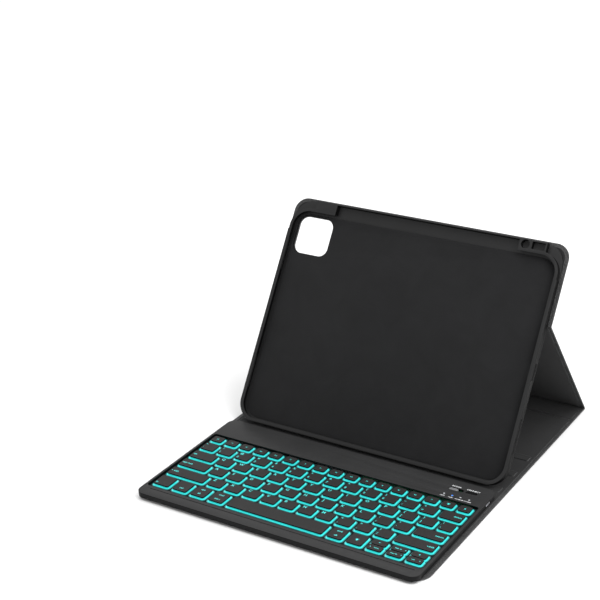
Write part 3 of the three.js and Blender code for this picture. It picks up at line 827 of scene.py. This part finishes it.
class Keycap:
    """One keycap: its top, its sides painted darker as shade, and its legends; under it, the light that leaks
    round it.
    """

    def __init__(self, name, low, high, body, node):
        self.low, self.high, self.body, self.node, self.name = low, high, body, node, name
        self.sheet = Sheet([KEY_TOP, KEY_SIDE_PAINTED_SHADE, LEGEND_LIGHT])
        bottom = high.z - CAP_THICK
        rectangle = (low.x, low.y, high.x, high.y)
        profile = [(inset, bottom + height) for inset, height in SIDE_PROFILE + TOP_PROFILE]
        # The sides take the near-black key material as painted shade.
        bands = [1] * len(SIDE_PROFILE) + [0] * (len(TOP_PROFILE) - 1)
        self.sheet.add_rings(profile_rings(rectangle, CAP_CORNER, profile, 5), bands)
        for lamp, margin, rise in ((HALO_SHEET, 1.8, 0.03), (LIGHT_SHEET, 0.85, 0.07)):
            outline = rounded_outline(*rectangle, CAP_CORNER, -margin, 5)
            lamp.add_prism(outline, PLATE_TOP - 0.1, PLATE_TOP + rise, 0)

    def at(self, along, up):
        """A point of the cap's top, from 0 to 1 along it and up it, a little in from its edges."""
        edge = 1.15
        x = self.low.x + edge + (self.high.x - self.low.x - 2 * edge) * along
        y = self.low.y + edge + (self.high.y - self.low.y - 2 * edge) * up
        return x, y

    def word(self, text, along, up, size, align="centre"):
        width = glyph_mesh(text)[2]
        x, y = self.at(along, up)
        x += {"left": width * size / 2, "right": -width * size / 2, "centre": 0}[align]
        y += {0.0: size / 2, 1.0: -size / 2}.get(up, 0)
        print_word(self.sheet, text, x, y, size, self.high.z, 2)
        return self

    def icon(self, outlines, along, up, size=1.0):
        x, y = self.at(along, up)
        for outline in outlines:
            moved = [(x + px * size, y + py * size) for px, py in outline]
            self.sheet.add_prism(moved, self.high.z - PRINT, self.high.z + PRINT, 2)
        return self

    def build(self):
        finished(self.sheet.build(self.name, ROW_FRAME, smooth=50), self.body, "key_plastic", self.node)


def edge_walls(faces, count):
    """Side faces for a flat shape of many faces that is given a copy count vertices further on."""
    once = {}
    for face in faces:
        for i, a in enumerate(face):
            b = face[(i + 1) % len(face)]
            if (b, a) in once:
                del once[(b, a)]
            else:
                once[(a, b)] = True
    return [(a, b, b + count, a + count) for a, b in once]


def print_word(sheet, text, x, y, size, top, slot):
    """Adds a word centred on x, y to a sheet, raised a little out of a surface at the height top."""
    points, faces, _ = glyph_mesh(text)
    flat = [(x + p.x * size, y + p.y * size) for p in points]
    count = len(flat)
    solid = [(px, py, top - PRINT) for px, py in flat] + [(px, py, top + PRINT) for px, py in flat]
    upper = [tuple(i + count for i in face) for face in faces]
    lower = [tuple(reversed(face)) for face in faces]
    sheet.add_faces(solid, upper + lower + edge_walls(faces, count), slot)


def row_caps(node, names):
    """The keycaps of a linked row of plain keys, from left to right."""
    low, high = box_mm(node)
    pitch = (high.x - low.x + KEY_GAP) / len(names)
    for i, name in enumerate(names):
        left = low.x + i * pitch
        right = left + pitch - KEY_GAP
        yield Keycap(name, Vector((left, low.y, 0)), Vector((right, high.y, high.z)), node, node)


def single_cap(node):
    low, high = box_mm(node)
    return Keycap(node + "_cap", low, high, node, node)


def build_function_row():
    names = [f"function_key_{i:02d}" for i in range(1, 18)]
    for cap, icon in zip(row_caps("function_keys", names), FUNCTION_ICONS):
        cap.icon(icon, 0.5, 0.5, 1.15).build()


def build_pair_row(node, pairs):
    """Plain keys that carry a letter, or a shifted mark above a plain one."""
    names = [f"{node[:-1]}_{i:02d}" for i in range(1, len(pairs) + 1)]
    for cap, pair in zip(row_caps(node, names), pairs):
        cap.word(pair[0], 0.0, 1.0, LETTER if len(pair) == 1 else LETTER * 0.85, "left")
        if len(pair) == 2:
            cap.word(pair[1], 0.0, 0.22, LETTER * 0.85, "left")
        cap.build()


def build_wide_keys():
    single_cap("key_delete").word("delete", 1.0, 0.5, WORD, "right").build()
    single_cap("key_tab").word("tab", 0.0, 0.5, WORD, "left").build()
    single_cap("key_backslash").word("|", 0.0, 1.0, 2.0, "left").word("\\", 0.0, 0.16, 2.0, "left").build()
    single_cap("key_caps_lock").word("caps lock", 0.0, 0.5, WORD, "left").build()
    single_cap("key_return").word("return", 1.0, 0.5, WORD, "right").build()
    single_cap("key_shift_left").icon(arrow_icon(1), 0.02, 0.5).word("shift", 0.07, 0.5, WORD, "left").build()
    single_cap("key_shift_right").word("shift", 1.0, 0.5, WORD, "right").icon(arrow_icon(1), 0.82, 0.5).build()
    single_cap("key_fn").word("fn", 0.0, 0.16, WORD, "left").build()
    single_cap("key_control").word("ctrl", 0.5, 0.26, WORD).build()
    single_cap("key_option").word("opt", 0.5, 0.76, WORD).word("alt", 0.5, 0.26, WORD).build()
    single_cap("key_command_left").word("cmd", 0.5, 0.76, WORD).word("start", 0.5, 0.26, WORD).build()
    single_cap("key_space").build()
    single_cap("key_command_right").word("cmd", 0.5, 0.76, WORD).word("alt", 0.5, 0.26, WORD).build()
    single_cap("key_backlight").icon(bulb_icon(), 0.5, 0.42, 1.25).build()
    single_cap("key_volume_up").icon(speaker_icon(2), 0.5, 0.5, 0.9).build()
    single_cap("key_arrow_up").word("page up", 0.42, 0.5, SMALL).icon(arrow_icon(1), 1.0, 0.5, 0.9).build()
    single_cap("key_page").icon(lock_icon(), 0.5, 0.5, 0.9).build()
    single_cap("key_arrow_left").word("home", 0.62, 0.5, SMALL).icon(arrow_icon(2), 0.1, 0.5, 0.9).build()
    single_cap("key_arrow_down").word("page dn", 0.42, 0.5, SMALL).icon(arrow_icon(3), 1.0, 0.5, 0.9).build()
    single_cap("key_arrow_right").word("end", 0.35, 0.5, SMALL).icon(arrow_icon(0), 0.9, 0.5, 0.9).build()


def build_keys():
    build_function_row()
    marks = "~` !1 @2 #3 $4 %5 ^6 &7 *8 (9 )0 _- +="
    build_pair_row("number_keys", marks.split())
    build_pair_row("upper_letter_keys", [*"QWERTYUIOP", "{[", "}]"])
    build_pair_row("home_letter_keys", [*"ASDFGHJKL", ":;", "\"'"])
    build_pair_row("lower_letter_keys", [*"ZXCVBNM", "<,", ">.", "?/"])
    build_wide_keys()
    finished(HALO_SHEET.build("key_light_halos", ROW_FRAME), "keyboard", "backlight")
    finished(LIGHT_SHEET.build("key_lights", ROW_FRAME), "keyboard", "backlight")


# ---- Printing beside the controls ----------------------------------------------------------------------

def printed_words(name, words, material):
    """Small words printed on the deck, each (text, x, y, height)."""
    sheet = Sheet([material])
    for text, x, y, size in words:
        print_word(sheet, text, x, y, size, DECK_TOP, 0)
    return finished(sheet.build(name, ROW_FRAME), "keyboard", "light_guide")


def build_printing():
    knob_low, knob_high = box_mm("power_switch_knob")
    button_low, button_high = box_mm("connect_button")
    guide_low, guide_high = box_mm("indicator_light_guide")
    label_y = knob_high.y + 2.7
    row_y = guide_low.y - 2.2
    first, last = guide_low.x + 2, guide_high.x - 2
    words = [
        ("POWER", (knob_low.x + knob_high.x) / 2 + 1, label_y, 1.9),
        ("CONNECT", (button_low.x + button_high.x) / 2, label_y, 1.9),
    ]
    for i, text in enumerate(("CAPS", "LINK", "CHARGE", "POWER")):
        words.append((text, first + (last - first) * i / 3, row_y, 1.45))
    printed_words("control_labels", words, LABEL)
    blue = Sheet([LINK_LIGHT])
    y = (guide_low.y + guide_high.y) / 2
    blue.add_prism(disc(LINK_LAMP_X, y, 0.75, 20), guide_high.z, guide_high.z + 0.06, 0)
    finished(blue.build("link_indicator", ROW_FRAME), "keyboard", "light_guide")


# ---- Stage, light and camera ---------------------------------------------------------------------------

def look_along(azimuth, elevation):
    """The unit vector from the object back to a camera at that azimuth and elevation, in degrees."""
    a, e = math.radians(azimuth), math.radians(elevation)
    return Vector((math.sin(a) * math.cos(e), -math.cos(a) * math.cos(e), math.sin(e)))


def build_camera():
    aim = Vector((-0.0663, -0.0122, 0.1470))
    azimuth, elevation, roll, distance, lens = 31.77, 23.29, -1.286, 1.3921, 90.2
    back = look_along(azimuth, elevation)
    data = bpy.data.cameras.new("camera")
    data.lens = lens
    data.sensor_width = 36
    data.clip_start, data.clip_end = 0.05, 30
    camera = bpy.data.objects.new("camera", data)
    camera.location = aim + back * distance
    camera.rotation_mode = "QUATERNION"
    turn = Quaternion((0, 0, 1), math.radians(roll))
    camera.rotation_quaternion = (-back).to_track_quat("-Z", "Y") @ turn
    bpy.context.scene.collection.objects.link(camera)
    bpy.context.scene.camera = camera


def area_light(name, azimuth, elevation, distance, size, power):
    data = bpy.data.lights.new(name, "AREA")
    data.shape = "RECTANGLE"
    data.size, data.size_y = size
    data.energy = power
    light = bpy.data.objects.new(name, data)
    back = look_along(azimuth, elevation)
    light.location = Vector((0, 0, 0.08)) + back * distance
    light.rotation_mode = "QUATERNION"
    light.rotation_quaternion = (-back).to_track_quat("-Z", "Y")
    bpy.context.scene.collection.objects.link(light)


def build_stage():
    material, _, shader = new_material("pale_floor", (0.86, 0.86, 0.86), 0.8)
    shader.inputs["Specular IOR Level"].default_value = 0.1
    floor = Sheet([material])
    reach = 6000
    corners = [(-reach, -reach, 0), (reach, -reach, 0), (reach, reach, 0), (-reach, reach, 0)]
    floor.add_faces(corners, [(0, 1, 2, 3)], 0)
    floor.build("floor", Matrix.Translation((0, 0, -0.02)))
    world = bpy.data.worlds.new("studio")
    world.use_nodes = True
    sky = world.node_tree.nodes["Background"]
    sky.inputs["Color"].default_value = (1, 1, 1, 1)
    sky.inputs["Strength"].default_value = 0.75
    bpy.context.scene.world = world
    area_light("rear_strip", 200, 38, 2.0, (1.4, 0.35), 6)
    area_light("side_strip", 75, 42, 0.9, (0.4, 0.8), 5)
    area_light("back_softbox", 150, 22, 1.8, (0.8, 0.5), 7)
    overhead = bpy.data.lights.new("overhead", "SUN")
    overhead.energy = 1.3
    overhead.angle = math.radians(60)
    bpy.context.scene.collection.objects.link(bpy.data.objects.new("overhead", overhead))
    bpy.context.scene.view_settings.view_transform = "Standard"


build_camera()
build_stage()
build_cover()
build_tray()
build_housing()
build_keys()
build_printing()
